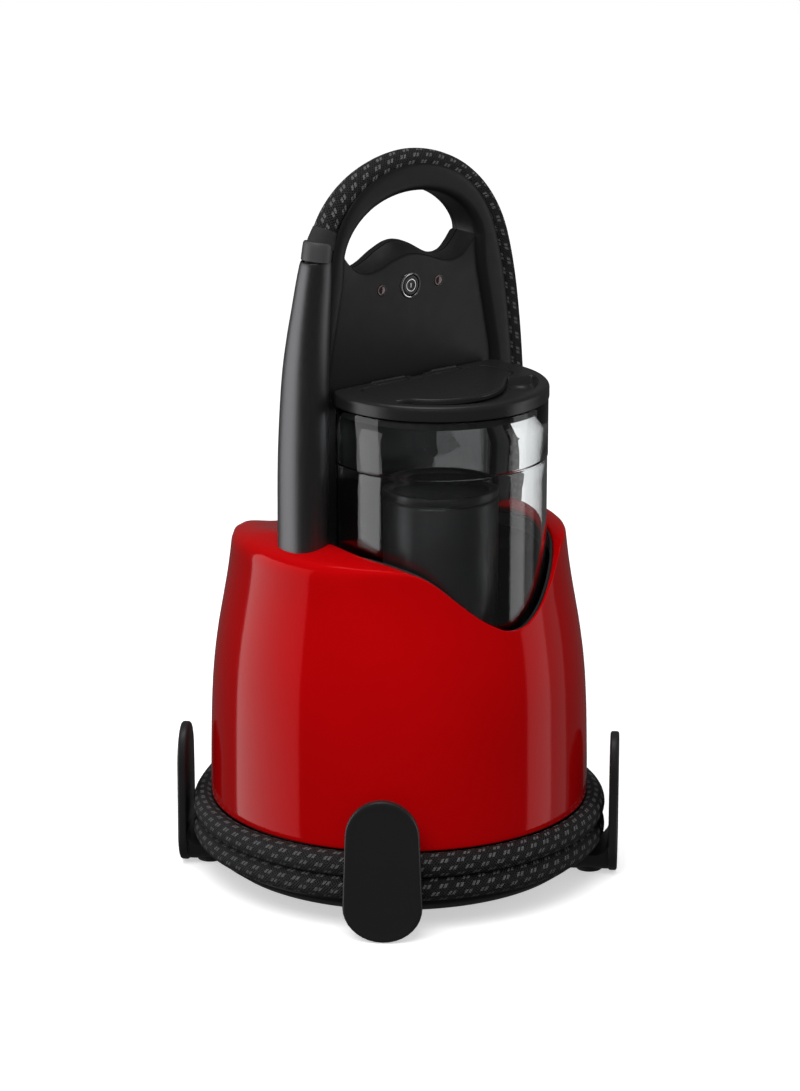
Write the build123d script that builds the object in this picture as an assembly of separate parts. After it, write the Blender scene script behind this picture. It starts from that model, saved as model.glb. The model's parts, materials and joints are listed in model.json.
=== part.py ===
"""Portable steam generator base: boiler body, lift-off water tank, carrying handle and wound hose.

Millimetres, +Z up, origin on the floor under the centre of the round body.
-Y is the front (tank and control panel), +X is the side where the hose comes down from the handle.
"""
from build123d import *
from math import cos, radians, sin, tan
import os

# ---------------------------------------------------------------- driving dimensions
FLOOR_GAP = 10.0            # floor to the underside of the base
WALL = 2.6                  # wall of the moulded covers
RUN_GAP = 0.3               # gap between curved faces of different bodies

BASE_R = 100.0              # underside of the base
TRAY_R = 109.0              # ledge that carries the wound hose
TRAY_TOP = 19.2
NECK_R = 103.2              # inner wall of the hose channel
SKIRT_Z = 47.0              # lower edge of the red body
LEDGE_R = 91.5              # inner edge of the two ledges that are screwed together

HOSE_D = 13.5
HOSE_BORE = 14.1            # bore of the riser and its collar
COLLAR_D = 17.4
WIND_R = 110.6              # centre line of the wound hose
WIND_LOW = 26.3             # centre height of the lower turn
WIND_HIGH = 39.8            # centre height of the upper turn
END_ANGLE = 7.0             # where the free end of the hose lies on the tray

HOOK_R = 125.0              # outer face of the hook paddles
HOOK_W = 40.0
HOOK_H = 81.6
HOOK_T = 5.0
ARM_H = 14.0
ARM_STEP = 97.5             # inside this radius the arm lies under the base

TANK_Y = -32.0              # centre of the round tank
TANK_R = 60.6
TANK_WALL = 2.4
TANK_BACK = -13.2           # flat rear wall of the tank
TANK_FLOOR = 114.0
TANK_TOP = 281.5
STEP_Z = 249.5              # moulded step that marks the full level
WELL_R = 63.6
WELL_FLOOR = 109.0
LID_R = 61.5
LID_BACK = -12.0
LID_TOP = 290.0

HANDLE_Y = -5.0             # plane of the hose over the handle
HANDLE_FRONT = -13.0
HANDLE_SPLIT = 6.0          # parting line of the two handle shells
HANDLE_REAR = 18.0
ARCH_REAR = 10.0            # rear face of the arch above the housing
ARCH_TAPER = (338.0, 374.0)     # heights between which the rear narrows to the arch
HANDLE_FOOT = 168.0
PANEL_FACE = -9.5
PANEL_T = 2.6
BUTTON_Z = 339.8
BUTTON_R = 5.6
BUTTON_RING_R = 7.0
LENS_X = 20.6
LENS_R = 3.2

FLAP_PIVOT = (-15.6, 288.0)     # y and z of the flap's hinge pin
FLAP_T = 3.2
FILTER_CENTRE = (-11.0, -47.5)
FILTER_R = 31.5
FILTER_TOP = 236.5
OUTLET = (0.0, TANK_Y)          # water outlet under the tank

BOILER_CENTRE = (0.0, 45.0)
BOILER_R = 36.0
PUMP_Z = 53.0
INLET_Z = 112.0
SCREW_R = 1.5

# right-hand half of the hose line over the handle, from the leg to the crown (x, z)
ARCH_RIGHT = [(80.5, 264.0), (77.5, 304.0), (72.0, 342.5), (62.6, 373.6), (41.8, 396.5), (13.4, 408.0)]
# left-hand half, from the crown down into the riser sleeve
ARCH_LEFT = [(-13.4, 408.0), (-42.5, 396.3), (-61.2, 372.5), (-66.0, 343.5)]
# hose from the right leg of the handle, round the back of the body, to the winding (x, y, z)
DESCENT = [
    (81.5, -5.0, 236.0), (91.5, 0.0, 210.0), (103.0, 14.0, 188.0), (107.0, 38.0, 165.0),
    (98.5, 66.0, 141.0), (76.5, 89.5, 117.0), (48.0, 107.0, 93.0), (16.5, 116.0, 69.5),
    (-16.0, 115.0, 50.5), (-46.5, 103.5, 41.2), (-72.0, 85.5, 39.8),
]
# riser sleeve: height, centre x, half width in x, half depth in y
SLEEVE_SECTIONS = [
    (196.0, -73.6, 12.0, 15.0), (250.0, -73.4, 12.0, 14.8), (300.0, -71.0, 11.4, 13.2),
    (334.0, -66.9, 9.8, 10.2), (361.0, -62.9, 8.6, 8.6),
]

os.makedirs("parts", exist_ok=True)


# ---------------------------------------------------------------- helpers
def save(node, *solids):
    """Write one node, a single solid or a group of separate solids."""
    shape = solids[0] if len(solids) == 1 else Compound(children=list(solids))
    export_step(shape, f"parts/{node}.step")
    return shape


def slab(face, y_low, y_high):
    """Extrude a face drawn in (x, z) from y_low to y_high."""
    return extrude(Plane.XZ.offset(-y_high) * face, amount=y_high - y_low)


def turned(outline, centre=(0.0, 0.0)):
    """Revolve an (r, z) outline about a vertical axis."""
    solid = revolve(Plane.XZ * make_face(Polyline(*outline, close=True)), axis=Axis.Z)
    return Pos(centre[0], centre[1], 0) * solid


def disc(radius, z_low, z_high, centre=(0.0, 0.0)):
    return Pos(centre[0], centre[1], z_low) * extrude(Circle(radius), amount=z_high - z_low)


def ring(r_in, r_out, z_low, z_high, centre=(0.0, 0.0)):
    face = Circle(r_out) - Circle(r_in)
    return Pos(centre[0], centre[1], z_low) * extrude(face, amount=z_high - z_low)


def block(low, high):
    """Box between two corners."""
    size = [b - a for a, b in zip(low, high)]
    middle = [(a + b) / 2 for a, b in zip(low, high)]
    return Pos(*middle) * Box(*size)


def about(angle, solid):
    """Turn a solid about the vertical axis of the body."""
    return Rot(0, 0, angle) * solid


def arc_radii(points):
    """Largest arcs that neighbouring runs allow: 0.45 of the shorter run over tan(half the turn)."""
    radii = []
    for before, here, after in zip(points, points[1:], points[2:]):
        run_in = Vector(*here) - Vector(*before)
        run_out = Vector(*after) - Vector(*here)
        turn = radians(run_in.get_angle(run_out))
        radii.append(0.45 * min(run_in.length, run_out.length) / tan(turn / 2))
    return radii


def tube(points, diameter, bore=0.0):
    """Round tube along straight runs joined by tangent arcs."""
    path = FilletPolyline(*points, radius=arc_radii(points))
    start = Plane(origin=path @ 0, z_dir=path % 0)
    section = Circle(diameter / 2)
    if bore:
        section = section - Circle(bore / 2)
    return sweep(start * section, path=path), path


# ---------------------------------------------------------------- red body
def dome_outline(inset):
    """Outside of the body as (r, z), from the skirt to the crown, moved inwards by inset."""
    wall = [(107.0, 47.0), (106.5, 85.0), (105.7, 112.0), (103.3, 135.0), (100.0, 155.0), (97.0, 172.0),
            (94.8, 185.0), (91.5, 193.5), (86.5, 199.6), (79.0, 204.0), (66.0, 207.6), (40.0, 210.5)]
    return [(r - inset, z - inset if r < 90 else z) for r, z in wall]


def dome(inset):
    points = dome_outline(inset)
    crown = points[-1][1] + 1.0
    low = SKIRT_Z if inset == 0 else SKIRT_Z - 1.0
    points[0] = (points[0][0], low)
    edge = Spline(*points, (0.0, crown), tangents=((0, 1), (-1, 0)))
    outline = edge + Line((0.0, crown), (0.0, low)) + Line((0.0, low), points[0])
    return revolve(Plane.XZ * make_face(outline), axis=Axis.Z)


def valley(depths, drop, y_low, y_high):
    """Cutter above a dipped line that runs front to back; depths are (x, z) on the right half."""
    right = [(x, z - drop) for x, z in depths]
    left = [(-x, z) for x, z in reversed(right[1:])]
    line = Spline(*left, *right)
    reach = right[-1][0]
    lid = Polyline((reach, right[-1][1]), (reach, 260.0), (-reach, 260.0), (-reach, right[-1][1]))
    return slab(make_face(line + lid), y_low, y_high)


FRONT_DIP = [(0.0, 163.0), (12.0, 166.0), (24.0, 173.5), (35.0, 183.5), (46.0, 194.0), (57.0, 202.6),
             (68.0, 208.5), (82.0, 214.0)]
REAR_DIP = [(0.0, 188.0), (25.0, 191.5), (48.0, 199.0), (66.0, 206.5), (82.0, 214.0)]


def body_block(inset):
    return dome(inset) - valley(FRONT_DIP, inset, -130, -6) - valley(REAR_DIP, inset, 6, 130)


def tank_outline(radius, back):
    """Circle with a flat at the rear, drawn in (x, y)."""
    return Pos(0, TANK_Y) * Circle(radius) & Pos(0, back - 100) * Rectangle(300, 200)


def sleeve_loft(grow=0.0):
    """Riser sleeve: an oval that narrows upwards and leans in to meet the hose."""
    faces = []
    for z, x, half_x, half_y in SLEEVE_SECTIONS:
        lean = 0.0 if z < 300 else (12.0 if z < 350 else 10.0)
        faces.append(Pos(x, HANDLE_Y, z) * Rot(0, lean, 0) * Ellipse(half_x + grow, half_y + grow))
    return loft(faces)


def make_body():
    well_cut = extrude(Pos(0, 0, 90) * tank_outline(WELL_R + 2.3, -7.0), amount=200)
    handle_cut = block((-77.2, -14.2, 120), (77.2, HANDLE_REAR + 1.2, 240))
    shell = body_block(0) - body_block(WALL) + ring(LEDGE_R, 105.0, SKIRT_Z, SKIRT_Z + WALL)
    for screw in base_screws(SCREW_R + 0.02):
        shell -= screw
    shell -= well_cut
    shell -= handle_cut
    shell -= sleeve_loft(RUN_GAP)
    shell -= block((-14.4, 90, 100.6), (14.4, 120, 123.4))
    return shell


def make_well_liner():
    outer = extrude(Pos(0, 0, WELL_FLOOR - 2.4) * tank_outline(WELL_R + 2.0, -7.4), amount=98)
    inner = extrude(Pos(0, 0, WELL_FLOOR) * tank_outline(WELL_R, -9.2), amount=120)
    liner = outer - inner - valley(FRONT_DIP, 1.2, -130, 40)
    liner -= disc(9.0, 90, 120, (0, TANK_Y))
    liner -= block((-77.2, -14.2, HANDLE_FOOT - 1), (77.2, HANDLE_REAR + 1.2, 240))
    return liner


# ---------------------------------------------------------------- base
def make_base():
    outline = [(0, FLOOR_GAP), (BASE_R, FLOOR_GAP), (TRAY_R, 16.6), (TRAY_R, TRAY_TOP), (NECK_R, TRAY_TOP),
               (NECK_R, 46.6), (LEDGE_R, 46.6), (LEDGE_R, 44.0), (NECK_R - 2.6, 44.0), (NECK_R - 2.6, 13.0),
               (0, 13.0)]
    base = turned(outline)
    for angle in HOOK_ANGLES.values():
        base -= about(angle, block((ARM_STEP, -HOOK_W / 2 - 0.1, 0), (130, HOOK_W / 2 + 0.1, ARM_H + 0.1)))
    for reach in SCREW_REACH:
        for boss, hole in zip(hook_group(4.0, 12.0, 18.0, reach), hook_group(SCREW_R + 0.02, 0, 20, reach)):
            base = base + boss - hole
    for screw in base_screws(SCREW_R + 0.02):
        base -= screw
    return base


def base_screws(radius):
    """Screws that hold the body's ledge on the base's ledge."""
    screws = []
    for angle in (22.5, 112.5, 202.5, 292.5):
        screws.append(about(angle, disc(radius, 41.0, SKIRT_Z + WALL, (95.5, 0))))
    return screws


HOOK_ANGLES = {"front_left": 225.0, "front_right": 315.0, "rear_right": 45.0, "rear_left": 135.0}
SCREW_REACH = (70.0, 88.0)      # distance of the hook screws from the middle of the base


def make_hook(angle):
    """Stadium paddle on an arm whose underside follows the round foot of the paddle."""
    half = HOOK_W / 2
    stadium = Pos(0, HOOK_H / 2) * SlotOverall(HOOK_H - 0.6, HOOK_W, rotation=90)
    paddle = extrude(Plane.YZ.offset(HOOK_R - HOOK_T) * stadium, amount=HOOK_T)
    paddle = chamfer(paddle.edges().filter_by(GeomType.LINE, reverse=True).group_by(Axis.X)[-1], 0.8)
    foot = stadium & Pos(0, ARM_H / 2) * Rectangle(HOOK_W + 2, ARM_H)
    foot &= Pos(0, 50) * Rectangle(60, 98.4)
    arm = extrude(Plane.YZ.offset(60.2) * foot, amount=HOOK_R - HOOK_T - 60.2)
    rib_outline = Polyline((HOOK_R - HOOK_T, ARM_H), (HOOK_R - HOOK_T - 1.6, ARM_H), (HOOK_R - HOOK_T, 17.5),
                           close=True)
    rib = extrude(Plane.XZ.offset(-half + 3) * make_face(rib_outline), amount=HOOK_W - 6)
    hook = paddle + arm + rib
    hook -= block((50, -30, FLOOR_GAP), (ARM_STEP + 0.1, 30, 30))
    hook -= disc(7.3, -1, 2.4, (109.0, 0))
    for x in SCREW_REACH:
        hook -= disc(SCREW_R + 0.1, -1, 20, (x, 0))
    return about(angle, hook)


def hook_group(radius, z_low, z_high, reach):
    return [about(a, disc(radius, z_low, z_high, (reach, 0))) for a in HOOK_ANGLES.values()]


# ---------------------------------------------------------------- handle
def arch_face(inset):
    """Inside of the hose line, moved inwards by inset, closed at the foot of the handle."""
    left_leg = [(-71.2, 300.0), (-73.6, 240.0), (-74.0, HANDLE_FOOT - inset)]
    right_leg = [(81.0, 236.0), (81.0, HANDLE_FOOT - inset)]
    points = list(reversed(right_leg)) + ARCH_RIGHT + ARCH_LEFT + left_leg
    flat = [(x, 0.0, z) for x, z in points]
    edge = FilletPolyline(*points, radius=arc_radii(flat))
    outline = edge + Line(points[-1], points[0])
    return offset(make_face(outline), amount=-inset)


def opening_face(grow=0.0):
    """Finger opening: half ellipse above a sill with a hump in the middle."""
    top = EllipticalCenterArc((0, 357), 48 + grow, 35 + grow, start_angle=8, arc_size=164)
    heights = [(-31.0, 350.5), (-15.0, 354.8), (0.0, 357.5), (15.0, 354.8), (31.0, 350.5)]
    sill = Spline(top @ 1, *[(x, z - grow) for x, z in heights], top @ 0)
    return make_face(top + sill)


def panel_face(inset=0.0):
    """Control panel between the stiles, under the sill."""
    right = [(59.4 - inset, 200.0 + inset), (59.4 - inset, 290.0), (51.8 - inset, 330.0), (43.5 - inset, 362.0)]
    left = [(-x, z) for x, z in reversed(right)]
    return make_face(Polyline(*right, *left, close=True)) - opening_face(inset)


def handle_block():
    core = slab(arch_face(7.0), HANDLE_FRONT, HANDLE_REAR)
    front_lip = slab(arch_face(4.5), HANDLE_FRONT, HANDLE_Y - 7.0)
    rear_lip = slab(arch_face(4.5), HANDLE_Y + 7.0, HANDLE_REAR)
    solid = core + front_lip + rear_lip
    solid -= slab(opening_face(), -40, 60)
    low, high = ARCH_TAPER
    taper = Polyline((ARCH_REAR, 450), (ARCH_REAR, high), (HANDLE_REAR, low), (60, low), (60, 450), close=True)
    behind = make_face(taper)
    solid -= extrude(Plane.YZ.offset(-120) * behind, amount=240)
    solid -= sleeve_loft(0.0)
    solid -= Pos(-61.6, HANDLE_Y, 366) * Rot(0, 12, 0) * Cylinder(9.0, 26)
    return solid


def make_handle():
    solid = handle_block()
    recess = slab(panel_face(), -40, PANEL_FACE + PANEL_T)
    pocket = slab(panel_face(6.0), -40, HANDLE_SPLIT)
    cavity = slab(panel_face(6.0), HANDLE_SPLIT, HANDLE_REAR - 2.6)
    below = slab(Pos(0, 182) * Rectangle(112, 38), -40, HANDLE_REAR - 2.6)
    front = solid & block((-120, -40, 100), (120, HANDLE_SPLIT, 450))
    rear = solid & block((-120, HANDLE_SPLIT, 100), (120, 60, 450))
    front = front - recess - pocket - below
    rear = rear - cavity - below
    return front, rear


def along_y(radius, y_low, y_high, x=0.0, z=BUTTON_Z, bore=0.0):
    """Cylinder or ring along Y between two y values."""
    face = Circle(radius)
    if bore:
        face -= Circle(bore)
    return slab(Pos(x, z) * face, y_low, y_high)


def along_x(radius, x_low, x_high, y, z, bore=0.0):
    """Cylinder or ring along X between two x values."""
    face = Circle(radius)
    if bore:
        face -= Circle(bore)
    return extrude(Plane.YZ.offset(x_low) * Pos(y, z) * face, amount=x_high - x_low)


HANDLE_SCREWS = [(-57.5, 215.0), (-57.5, 270.0), (-50.0, 330.0), (64.0, 215.0), (62.5, 270.0), (56.0, 330.0)]


def screw_holes():
    holes = [along_y(SCREW_R + 0.02, -4, 30, x, z) for x, z in HANDLE_SCREWS]
    holes += [along_y(3.2, HANDLE_REAR - 3.5, 30, x, z) for x, z in HANDLE_SCREWS]
    return holes


def handle_screw(x, z):
    shank = along_y(SCREW_R, -3, HANDLE_REAR - 3.5, x, z)
    head = along_y(3.0, HANDLE_REAR - 3.5, HANDLE_REAR - 1.0, x, z)
    slot = Pos(x, HANDLE_REAR - 1.0, z) * Box(4.4, 1.6, 0.9)
    return shank + head - slot


def make_control_panel():
    panel = slab(panel_face(0.25), PANEL_FACE, PANEL_FACE + PANEL_T)
    panel -= along_y(BUTTON_RING_R, -20, 0)
    panel -= along_y(LENS_R, -20, 0, -LENS_X)
    panel -= along_y(LENS_R, -20, 0, LENS_X)
    for x in (-14, 14):
        panel += along_y(2.2, PANEL_FACE + PANEL_T, -1.0, x, BUTTON_Z - 7)
    return panel


def make_lens(x):
    return along_y(LENS_R, PANEL_FACE - 0.2, PANEL_FACE + PANEL_T, x)


def make_power_button():
    cap = along_y(BUTTON_R, PANEL_FACE - 0.8, PANEL_FACE + 2.2)
    return cap + along_y(2.0, PANEL_FACE + 2.2, -4.8)


# ---------------------------------------------------------------- tank
def tank_prism(radius, back, z_low, z_high):
    return extrude(Pos(0, 0, z_low) * tank_outline(radius, back), amount=z_high - z_low)


def make_tank_shell():
    inner_back = TANK_BACK - TANK_WALL
    outside = tank_prism(TANK_R, TANK_BACK, TANK_FLOOR, STEP_Z)
    outside += tank_prism(TANK_R + 0.4, TANK_BACK + 0.4, STEP_Z, TANK_TOP)
    inside = tank_prism(TANK_R - TANK_WALL, inner_back, TANK_FLOOR + TANK_WALL, STEP_Z + 0.4)
    inside += tank_prism(TANK_R - TANK_WALL + 0.4, inner_back + 0.4, STEP_Z + 0.4, TANK_TOP + 1)
    tank = outside - inside
    tank += tank_prism(53.0, -22.0, WELL_FLOOR, TANK_FLOOR) - tank_prism(50.6, -24.4, 100, 120)
    tank += disc(6.2, 104.0, 120.0, OUTLET)
    tank -= disc(4.6, 107.0, 118.4, OUTLET)
    tank -= disc(3.0, 100.0, 108.0, OUTLET)
    tank -= disc(1.6, 118.0, 121.0, OUTLET)
    for x in (-4.6, 4.6):
        tank -= Pos(x, TANK_Y, 117.4) * Box(4.0, 3.0, 2.0)
    return tank


def flap_outline(grow=0.0):
    """Fill flap in plan: straight along the hinge, waved front edge beside the finger dish."""
    wave = [(-41.0, -57.0), (-24.0, -64.5), (-3.0, -68.5), (9.0, -65.5), (15.0, -57.0), (24.0, -49.0),
            (38.0, -46.5)]
    side = 46.0 + grow
    front = Spline((-side, -46.0), *[(x, y - grow) for x, y in wave], (side, -40.0))
    back = Polyline((side, -40.0), (side, -24.0), (side - 6.4, -17.6 + grow), (6.4 - side, -17.6 + grow),
                    (-side, -24.0), (-side, -46.0))
    return make_face(front + back)


BARRELS = [(-30.0, -8.0), (12.0, 30.0)]     # hinge barrels of the flap along x


def make_tank_lid():
    y, z = FLAP_PIVOT
    lid = tank_prism(LID_R, LID_BACK, TANK_TOP + 0.2, LID_TOP)
    lid = chamfer(lid.edges().group_by(Axis.Z)[-1], 0.9)
    skirt = tank_prism(56.4, TANK_BACK - 4.2, 275.8, TANK_TOP + 0.2)
    lid += skirt
    lid -= extrude(Pos(0, 0, LID_TOP - FLAP_T - 0.3) * flap_outline(0.4), amount=10)
    lid -= extrude(Pos(0, 0, 270) * flap_outline(-4.0), amount=30)
    lid -= tank_prism(53.6, TANK_BACK - 7.0, 270, 284.4) & block((-60, -100, 270), (60, -20, 284.4))
    for x_low, x_high in BARRELS:
        lid -= block((x_low - 0.3, y - 2.6, z - 2.5), (x_high + 0.3, y + 2.3, LID_TOP + 1))
    lid -= along_x(0.9, -33, 33, y, z)
    lid -= Pos(25, -62, LID_TOP + 5.5) * Sphere(12.5)
    return lid


def make_fill_flap():
    y, z = FLAP_PIVOT
    flap = extrude(Pos(0, 0, LID_TOP - FLAP_T) * flap_outline(), amount=FLAP_T)
    flap -= block((-50, y - 2.8, z - 5), (50, y + 5, z + 5))
    for x_low, x_high in BARRELS:
        flap += along_x(1.9, x_low, x_high, y, z)
        flap += block((x_low, y - 3.4, z - 1.2), (x_high, y, z + 0.8))
    flap -= along_x(0.95, -40, 40, y, z)
    return flap


def make_filter():
    cartridge = disc(FILTER_R, TANK_FLOOR + TANK_WALL, FILTER_TOP - 5, FILTER_CENTRE)
    cartridge -= disc(FILTER_R - 3, 110, 124, FILTER_CENTRE)
    cap = disc(FILTER_R + 0.1, FILTER_TOP - 5, FILTER_TOP, FILTER_CENTRE)
    cap = chamfer(cap.edges().group_by(Axis.Z)[-1], 1.0)
    cap -= disc(FILTER_R - 5, FILTER_TOP - 2.6, FILTER_TOP + 1, FILTER_CENTRE)
    cap += Pos(FILTER_CENTRE[0], FILTER_CENTRE[1], FILTER_TOP - 1.5) * Box(2 * FILTER_R - 12, 4, 3)
    return cartridge, cap


def make_outlet_plunger():
    return disc(1.4, 106.8, 119.6, OUTLET) + disc(4.0, 110.0, 112.0, OUTLET)


def make_dock_valve():
    wall = [(0, 96), (8.7, 96), (8.7, 108.6), (7.2, 108.6), (7.2, 99), (0, 99)]
    dock = turned(wall, OUTLET) + ring(8.7, 13.0, 104.4, 106.5, OUTLET)
    dock += disc(1.5, 99, 106.6, OUTLET) + disc(3.0, 88, 96, OUTLET)
    return dock


# ---------------------------------------------------------------- inside the body
def make_boiler():
    outline = [(0, 32), (30, 32), (BOILER_R, 38), (BOILER_R, 132), (28, 140), (0, 140)]
    return turned(outline, BOILER_CENTRE)


def make_boiler_bracket():
    plate = ring(6, 33, 21.5, 24.0, BOILER_CENTRE)
    for angle in (30, 150, 270):
        x = BOILER_CENTRE[0] + 28 * cos(radians(angle))
        y = BOILER_CENTRE[1] + 28 * sin(radians(angle))
        plate += disc(3.0, 13.0, 21.5, (x, y))
    return plate


def make_pump():
    coil = block((-21, -66, PUMP_Z - 19), (21, -26, PUMP_Z + 19))
    return coil + along_x(9.0, -46, 46, -46, PUMP_Z) + along_x(3.0, 46, 56, -46, PUMP_Z)


def make_pump_mount(x):
    return block((x - 4, -60, 13), (x + 4, -32, PUMP_Z + 9)) - along_x(9.05, x - 5, x + 5, -46, PUMP_Z)


def make_mains_inlet():
    """Three-pole inlet: a socket body behind a flange, open to the rear."""
    body = block((-13.5, 82, INLET_Z - 10.6), (13.5, 105.3, INLET_Z + 10.6))
    flange = block((-19, 97.4, INLET_Z - 13), (19, 99.8, INLET_Z + 13))
    cavity = block((-12, 90, INLET_Z - 8.2), (12, 106, INLET_Z + 8.2))
    return body + flange - cavity


def inlet_pins():
    return [block((x - 1, 84, INLET_Z + z - 2), (x + 1, 99.5, INLET_Z + z + 2)) for x, z in
            ((-7, -2), (0, 2), (7, -2))]


# ---------------------------------------------------------------- hose
def exit_rod(diameter, start, end):
    """Straight rod along the hose's first run inside the riser, between two distances from its start."""
    (x0, z0), (x1, z1) = ARCH_LEFT[-1], ARCH_LEFT[-2]
    along = Plane(origin=(x0, HANDLE_Y, z0), z_dir=(x1 - x0, 0, z1 - z0))
    return along.offset(start) * extrude(Circle(diameter / 2), amount=end - start)


def hose_route():
    over_handle = [(x, HANDLE_Y, z) for x, z in reversed(ARCH_RIGHT + ARCH_LEFT)]
    return over_handle + DESCENT


def make_end_fitting():
    """Slim screw coupling on the free end of the hose, lying on the tray under the upper turn."""
    angle = radians(END_ANGLE)
    middle = Vector(WIND_R * cos(angle), WIND_R * sin(angle), WIND_LOW)
    direction = Vector(-sin(angle), cos(angle), 0)
    plane = Plane(origin=middle - direction * 22, z_dir=direction)
    barrel = plane * extrude(Circle(6.7), amount=20)
    waist = plane.offset(20) * extrude(Circle(6.2), amount=12)
    return barrel + waist + plane.offset(32) * extrude(Circle(4.0), amount=12)


# ---------------------------------------------------------------- build
save("body_shell", make_body())
save("well_liner", make_well_liner())
save("base_plate", make_base())
for name, angle in HOOK_ANGLES.items():
    save(f"hook_{name}", make_hook(angle))
save("rubber_feet", *hook_group(7.25, 0.0, 2.4, 109.0))
save("hook_screws", *[screw for reach in SCREW_REACH for screw in hook_group(SCREW_R, 4.0, 18.0, reach)])
save("base_screws", *base_screws(SCREW_R))
save("frame_posts", *[block((side * 60 - 6, -6, 13), (side * 60 + 6, 16, HANDLE_FOOT)) for side in (-1, 1)])

handle_front, handle_rear = make_handle()
holes = screw_holes()
save("handle_front", handle_front - holes)
save("handle_rear", handle_rear - holes)
save("handle_screws", *[handle_screw(x, z) for x, z in HANDLE_SCREWS])
save("control_panel", make_control_panel())
save("power_button", make_power_button())
save("button_ring", along_y(BUTTON_RING_R, PANEL_FACE - 0.6, PANEL_FACE + PANEL_T, bore=BUTTON_R + 0.2))
save("button_spring", along_y(3.6, PANEL_FACE + 3.6, -3.8, bore=2.4))
save("button_switch", block((-3, -3.6, BUTTON_Z - 3), (3, -1.0, BUTTON_Z + 3)))
save("steam_lens", make_lens(-LENS_X))
save("water_lens", make_lens(LENS_X))
save("control_board", block((-26, -1.0, BUTTON_Z - 14), (26, 0.6, BUTTON_Z + 5)))

save("riser_sleeve", sleeve_loft() - exit_rod(HOSE_BORE, -9.0, 40.0))
save("riser_collar", exit_rod(COLLAR_D, 18.4, 28.0) - exit_rod(HOSE_BORE, 0.0, 40.0))

save("tank_shell", make_tank_shell())
save("tank_lid", make_tank_lid())
save("fill_flap", make_fill_flap())
save("hinge_pin", along_x(0.9, -33, 33, *FLAP_PIVOT))
save("lid_seal", tank_prism(58.5, TANK_BACK - 2.1, 277, 280) - tank_prism(56.4, TANK_BACK - 4.2, 270, 290))
cartridge, filter_cap = make_filter()
save("filter_cartridge", cartridge)
save("filter_cap", filter_cap)
save("outlet_plunger", make_outlet_plunger())
save("outlet_spring", ring(1.7, 2.8, 112.0, 118.4, OUTLET))
save("dock_valve", make_dock_valve())
save("dock_seal", ring(6.5, 7.2, 106.2, 108.0, OUTLET))

save("boiler", make_boiler())
save("boiler_heater", ring(20, 28, 24.0, 32.0, BOILER_CENTRE))
save("boiler_bracket", make_boiler_bracket())
save("thermostat", disc(8.0, 140, 148, (-15, 45)) + disc(4.0, 148, 154, (-15, 45)))
save("safety_valve", disc(5.0, 140, 150, (17, 35)) + disc(6.6, 150, 158, (17, 35)))
save("solenoid_valve", block((-11, 52, 140), (11, 74, 166)) + disc(4, 166, 174, (0, 63)))
save("pump", make_pump())
save("pump_mounts", *[make_pump_mount(x) for x in (-36, 36)])
save("power_board", block((56, 24, 13), (58, 66, 92)) + block((44, 34, 40), (56, 56, 62)))
save("mains_inlet", make_mains_inlet())
save("inlet_pins", *inlet_pins())

suction = [(0, TANK_Y, 88), (0, TANK_Y, 79), (-30, -40, 79), (-58, -46, 79), (-58, -46, PUMP_Z), (-46, -46, PUMP_Z)]
feed = [(56, -46, PUMP_Z), (66, -46, PUMP_Z), (66, -18, PUMP_Z), (30, -18, PUMP_Z), (30, 21.5, PUMP_Z)]
steam = [(-11, 63, 153), (-40, 63, 153), (-66, 40, 153), (-73.6, 10, 160), (-73.6, HANDLE_Y, 176),
         (-73.6, HANDLE_Y, 196)]
save("suction_tube", tube(suction, 5.0)[0])
save("feed_tube", tube(feed, 5.0)[0])
save("steam_tube", tube(steam, 6.0)[0])

route = hose_route()
print("hose radii", [round(r, 1) for r in arc_radii(route)])
hose, hose_path = tube(route, HOSE_D)
section = 3.14159 * HOSE_D ** 2 / 4
print("hose length", round(hose_path.length, 1), "volume ratio", round(hose.volume / hose_path.length / section, 4))
save("hose_run", hose)
save("hose_winding", ring(WIND_R - HOSE_D / 2, WIND_R + HOSE_D / 2, WIND_LOW - HOSE_D / 2, WIND_HIGH + HOSE_D / 2))
save("hose_end_fitting", make_end_fitting())
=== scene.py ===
import json
import math
import bpy
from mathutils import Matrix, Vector


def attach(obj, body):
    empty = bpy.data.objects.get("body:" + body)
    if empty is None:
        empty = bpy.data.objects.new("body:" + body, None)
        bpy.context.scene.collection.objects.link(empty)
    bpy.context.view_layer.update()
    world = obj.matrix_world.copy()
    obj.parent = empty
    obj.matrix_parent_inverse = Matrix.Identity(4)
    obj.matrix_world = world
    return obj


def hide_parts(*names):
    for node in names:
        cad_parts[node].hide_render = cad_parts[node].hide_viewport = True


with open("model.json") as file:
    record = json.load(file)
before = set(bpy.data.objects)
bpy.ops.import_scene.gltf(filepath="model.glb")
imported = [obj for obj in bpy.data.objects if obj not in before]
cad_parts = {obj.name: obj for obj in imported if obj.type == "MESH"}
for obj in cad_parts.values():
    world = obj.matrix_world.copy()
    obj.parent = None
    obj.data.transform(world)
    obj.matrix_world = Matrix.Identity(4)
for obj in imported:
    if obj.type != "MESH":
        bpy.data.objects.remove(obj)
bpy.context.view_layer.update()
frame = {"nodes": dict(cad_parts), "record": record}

MM = 0.001
TAU = 2 * math.pi

# driving sizes in millimetres, as in the CAD
HOSE_D = 13.5
HOSE_Y = -5.0               # plane of the riser and of the hose over the handle
PANEL_Y = -9.5              # front of the control panel
FRONT_SEAM, REAR_SEAM = 5.8, 6.2
HANDLE_REAR, ARCH_REAR = 18.0, 10.0
TANK_Y = -32.0              # centre of the round tank
TANK_R, TANK_BACK, TANK_FLOOR = 60.6, -13.2, 114.0
WELL_FLOOR = 109.0
RIM_R = 65.6                # inner edge of the body's rim about the tank
LID_R, LID_BACK, LID_TOP = 61.5, -12.0, 290.0
FILTER_AT = (-11.0, -47.5)


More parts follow.
